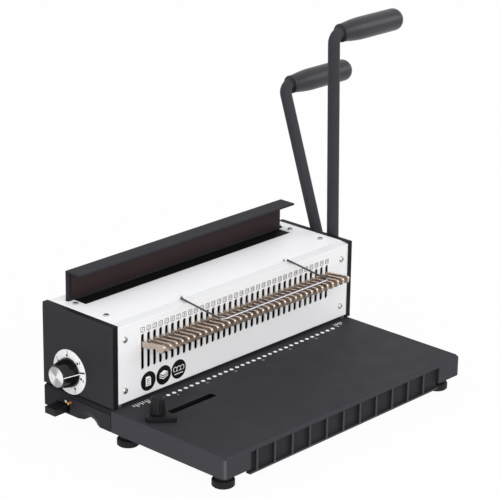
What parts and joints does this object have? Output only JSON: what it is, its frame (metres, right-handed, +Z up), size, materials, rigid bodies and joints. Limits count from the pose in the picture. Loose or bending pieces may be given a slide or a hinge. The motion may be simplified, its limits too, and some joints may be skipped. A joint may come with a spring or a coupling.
{
  "type": "wire binding machine",
  "caption": "Desktop wire binding machine: flat table, slotted white cover with pin pulls, punch and closing levers with grips, closing bar, dial, side guide, wire rest and chip tray.",
  "frame": {"origin": "on the floor, under the middle of the whole machine at rest", "axes": "+Z up, the machine faces -Y with its table in front, +X to the levers' side"},
  "size_m": [0.518, 0.2968, 0.3612],
  "materials": {
    "base_paint": "satin grey paint",
    "foot_rubber": "matte black",
    "frame_steel": "plain",
    "side_cover_paint": "satin near-black",
    "cover_paint": "satin white",
    "screw_steel": "bright",
    "tool_steel": "ground",
    "shaft_steel": "turned",
    "lever_paint": "satin grey paint",
    "grip_plastic": "soft satin",
    "closer_paint": "satin grey paint",
    "magnet": "dark brown",
    "anvil_paint": "black",
    "dial_plastic": "gloss black",
    "rest_steel": "dark",
    "guide_plastic": "black",
    "tray_plastic": "satin grey",
    "pull_steel": "warm grey"
  },
  "bodies": {
    "frame": {"base": "base_paint", "rubber_feet": "foot_rubber", "side_frames": "frame_steel", "left_side_cover": "side_cover_paint", "right_side_cover": "side_cover_paint", "front_cover": "cover_paint", "rear_cover": "cover_paint", "cover_screws": "screw_steel", "punch_die": "tool_steel", "closer_anvil": "anvil_paint"},
    "punch_lever_set": {"punch_shaft": "shaft_steel", "punch_lever": "lever_paint", "punch_grip": "grip_plastic"},
    "punch_ram_set": {"punch_ram": "tool_steel", "punch_pins": "tool_steel"},
    "closer_lever_set": {"closer_shaft": "shaft_steel", "closer_lever": "lever_paint", "closer_grip": "grip_plastic"},
    "closer_bar_set": {"closer_bar": "closer_paint", "magnet_strip": "magnet"},
    "dial": {"dial_knob": "dial_plastic"},
    "rest": {"wire_rest": "rest_steel"},
    "guide": {"side_guide": "guide_plastic"},
    "guide_clamp": {"guide_knob": "guide_plastic"},
    "margin": {"margin_slider": "guide_plastic"},
    "tray": {"chip_tray": "tray_plastic"},
    "pull_01": {"pin_pull_01": "pull_steel"},
    "pull_02": {"pin_pull_02": "pull_steel"},
    "pull_03": {"pin_pull_03": "pull_steel"},
    "pull_04": {"pin_pull_04": "pull_steel"},
    "pull_05": {"pin_pull_05": "pull_steel"},
    "pull_06": {"pin_pull_06": "pull_steel"},
    "pull_07": {"pin_pull_07": "pull_steel"},
    "pull_08": {"pin_pull_08": "pull_steel"},
    "pull_09": {"pin_pull_09": "pull_steel"},
    "pull_10": {"pin_pull_10": "pull_steel"},
    "pull_11": {"pin_pull_11": "pull_steel"},
    "pull_12": {"pin_pull_12": "pull_steel"},
    "pull_13": {"pin_pull_13": "pull_steel"},
    "pull_14": {"pin_pull_14": "pull_steel"},
    "pull_15": {"pin_pull_15": "pull_steel"},
    "pull_16": {"pin_pull_16": "pull_steel"},
    "pull_17": {"pin_pull_17": "pull_steel"},
    "pull_18": {"pin_pull_18": "pull_steel"},
    "pull_19": {"pin_pull_19": "pull_steel"},
    "pull_20": {"pin_pull_20": "pull_steel"},
    "pull_21": {"pin_pull_21": "pull_steel"},
    "pull_22": {"pin_pull_22": "pull_steel"},
    "pull_23": {"pin_pull_23": "pull_steel"},
    "pull_24": {"pin_pull_24": "pull_steel"},
    "pull_25": {"pin_pull_25": "pull_steel"},
    "pull_26": {"pin_pull_26": "pull_steel"},
    "pull_27": {"pin_pull_27": "pull_steel"},
    "pull_28": {"pin_pull_28": "pull_steel"},
    "pull_29": {"pin_pull_29": "pull_steel"},
    "pull_30": {"pin_pull_30": "pull_steel"},
    "pull_31": {"pin_pull_31": "pull_steel"},
    "pull_32": {"pin_pull_32": "pull_steel"},
    "pull_33": {"pin_pull_33": "pull_steel"},
    "pull_34": {"pin_pull_34": "pull_steel"}
  },
  "joints": [
    {"name": "punch_lever_turn", "type": "hinge", "parent": "frame", "child": "punch_lever_set", "pos_m": [0.13486, 0.04453, 0.0832], "axis": [1, 0, 0], "range_deg": [0, 90]},
    {"name": "punch_ram_drop", "type": "slide", "parent": "frame", "child": "punch_ram_set", "axis": [0, 0, -1], "range_m": [0, 0.0142]},
    {"name": "closer_lever_turn", "type": "hinge", "parent": "frame", "child": "closer_lever_set", "pos_m": [0.14996, 0.07394, 0.0882], "axis": [1, 0, 0], "range_deg": [0, 88]},
    {"name": "closer_bar_drop", "type": "slide", "parent": "frame", "child": "closer_bar_set", "axis": [0, 0, -1], "range_m": [0, 0.0231]},
    {"name": "dial_turn", "type": "hinge", "parent": "frame", "child": "dial", "pos_m": [-0.24126, 0.06897, 0.0621], "axis": [-1, 0, 0], "range_deg": [-135, 135]},
    {"name": "rest_swing", "type": "hinge", "parent": "frame", "child": "rest", "pos_m": [-0.0523, 0.01855, 0.1265], "axis": [1, 0, 0], "range_deg": [-100, 0]},
    {"name": "guide_slide", "type": "slide", "parent": "frame", "child": "guide", "axis": [1, 0, 0], "range_m": [0, 0.07]},
    {"name": "guide_knob_turn", "type": "hinge", "parent": "guide", "child": "guide_clamp", "pos_m": [-0.21736, -0.03385, 0.0432], "axis": [0, 0, 1], "range_deg": [-180, 180]},
    {"name": "margin_slide", "type": "slide", "parent": "frame", "child": "margin", "axis": [0, 1, 0], "range_m": [-0.002, 0.002]},
    {"name": "chip_tray_slide", "type": "slide", "parent": "frame", "child": "tray", "axis": [-1, 0, 0], "range_m": [0, 0.2]},
    {"name": "slot_pull_01", "type": "slide", "parent": "punch_ram_set", "child": "pull_01", "axis": [0, -1, 0], "range_m": [0, 0.009]},
    {"name": "slot_pull_02", "type": "slide", "parent": "punch_ram_set", "child": "pull_02", "axis": [0, -1, 0], "range_m": [0, 0.009]},
    {"name": "slot_pull_03", "type": "slide", "parent": "punch_ram_set", "child": "pull_03", "axis": [0, -1, 0], "range_m": [0, 0.009]},
    {"name": "slot_pull_04", "type": "slide", "parent": "punch_ram_set", "child": "pull_04", "axis": [0, -1, 0], "range_m": [0, 0.009]},
    {"name": "slot_pull_05", "type": "slide", "parent": "punch_ram_set", "child": "pull_05", "axis": [0, -1, 0], "range_m": [0, 0.009]},
    {"name": "slot_pull_06", "type": "slide", "parent": "punch_ram_set", "child": "pull_06", "axis": [0, -1, 0], "range_m": [0, 0.009]},
    {"name": "slot_pull_07", "type": "slide", "parent": "punch_ram_set", "child": "pull_07", "axis": [0, -1, 0], "range_m": [0, 0.009]},
    {"name": "slot_pull_08", "type": "slide", "parent": "punch_ram_set", "child": "pull_08", "axis": [0, -1, 0], "range_m": [0, 0.009]},
    {"name": "slot_pull_09", "type": "slide", "parent": "punch_ram_set", "child": "pull_09", "axis": [0, -1, 0], "range_m": [0, 0.009]},
    {"name": "slot_pull_10", "type": "slide", "parent": "punch_ram_set", "child": "pull_10", "axis": [0, -1, 0], "range_m": [0, 0.009]},
    {"name": "slot_pull_11", "type": "slide", "parent": "punch_ram_set", "child": "pull_11", "axis": [0, -1, 0], "range_m": [0, 0.009]},
    {"name": "slot_pull_12", "type": "slide", "parent": "punch_ram_set", "child": "pull_12", "axis": [0, -1, 0], "range_m": [0, 0.009]},
    {"name": "slot_pull_13", "type": "slide", "parent": "punch_ram_set", "child": "pull_13", "axis": [0, -1, 0], "range_m": [0, 0.009]},
    {"name": "slot_pull_14", "type": "slide", "parent": "punch_ram_set", "child": "pull_14", "axis": [0, -1, 0], "range_m": [0, 0.009]},
    {"name": "slot_pull_15", "type": "slide", "parent": "punch_ram_set", "child": "pull_15", "axis": [0, -1, 0], "range_m": [0, 0.009]},
    {"name": "slot_pull_16", "type": "slide", "parent": "punch_ram_set", "child": "pull_16", "axis": [0, -1, 0], "range_m": [0, 0.009]},
    {"name": "slot_pull_17", "type": "slide", "parent": "punch_ram_set", "child": "pull_17", "axis": [0, -1, 0], "range_m": [0, 0.009]},
    {"name": "slot_pull_18", "type": "slide", "parent": "punch_ram_set", "child": "pull_18", "axis": [0, -1, 0], "range_m": [0, 0.009]},
    {"name": "slot_pull_19", "type": "slide", "parent": "punch_ram_set", "child": "pull_19", "axis": [0, -1, 0], "range_m": [0, 0.009]},
    {"name": "slot_pull_20", "type": "slide", "parent": "punch_ram_set", "child": "pull_20", "axis": [0, -1, 0], "range_m": [0, 0.009]},
    {"name": "slot_pull_21", "type": "slide", "parent": "punch_ram_set", "child": "pull_21", "axis": [0, -1, 0], "range_m": [0, 0.009]},
    {"name": "slot_pull_22", "type": "slide", "parent": "punch_ram_set", "child": "pull_22", "axis": [0, -1, 0], "range_m": [0, 0.009]},
    {"name": "slot_pull_23", "type": "slide", "parent": "punch_ram_set", "child": "pull_23", "axis": [0, -1, 0], "range_m": [0, 0.009]},
    {"name": "slot_pull_24", "type": "slide", "parent": "punch_ram_set", "child": "pull_24", "axis": [0, -1, 0], "range_m": [0, 0.009]},
    {"name": "slot_pull_25", "type": "slide", "parent": "punch_ram_set", "child": "pull_25", "axis": [0, -1, 0], "range_m": [0, 0.009]},
    {"name": "slot_pull_26", "type": "slide", "parent": "punch_ram_set", "child": "pull_26", "axis": [0, -1, 0], "range_m": [0, 0.009]},
    {"name": "slot_pull_27", "type": "slide", "parent": "punch_ram_set", "child": "pull_27", "axis": [0, -1, 0], "range_m": [0, 0.009]},
    {"name": "slot_pull_28", "type": "slide", "parent": "punch_ram_set", "child": "pull_28", "axis": [0, -1, 0], "range_m": [0, 0.009]},
    {"name": "slot_pull_29", "type": "slide", "parent": "punch_ram_set", "child": "pull_29", "axis": [0, -1, 0], "range_m": [0, 0.009]},
    {"name": "slot_pull_30", "type": "slide", "parent": "punch_ram_set", "child": "pull_30", "axis": [0, -1, 0], "range_m": [0, 0.009]},
    {"name": "slot_pull_31", "type": "slide", "parent": "punch_ram_set", "child": "pull_31", "axis": [0, -1, 0], "range_m": [0, 0.009]},
    {"name": "slot_pull_32", "type": "slide", "parent": "punch_ram_set", "child": "pull_32", "axis": [0, -1, 0], "range_m": [0, 0.009]},
    {"name": "slot_pull_33", "type": "slide", "parent": "punch_ram_set", "child": "pull_33", "axis": [0, -1, 0], "range_m": [0, 0.009]},
    {"name": "slot_pull_34", "type": "slide", "parent": "punch_ram_set", "child": "pull_34", "axis": [0, -1, 0], "range_m": [0, 0.009]}
  ],
  "couplings": [
    {"joint": "punch_ram_drop", "follows": "punch_lever_turn", "m_per_rad": 0.009},
    {"joint": "closer_bar_drop", "follows": "closer_lever_turn", "m_per_rad": 0.015}
  ]
}
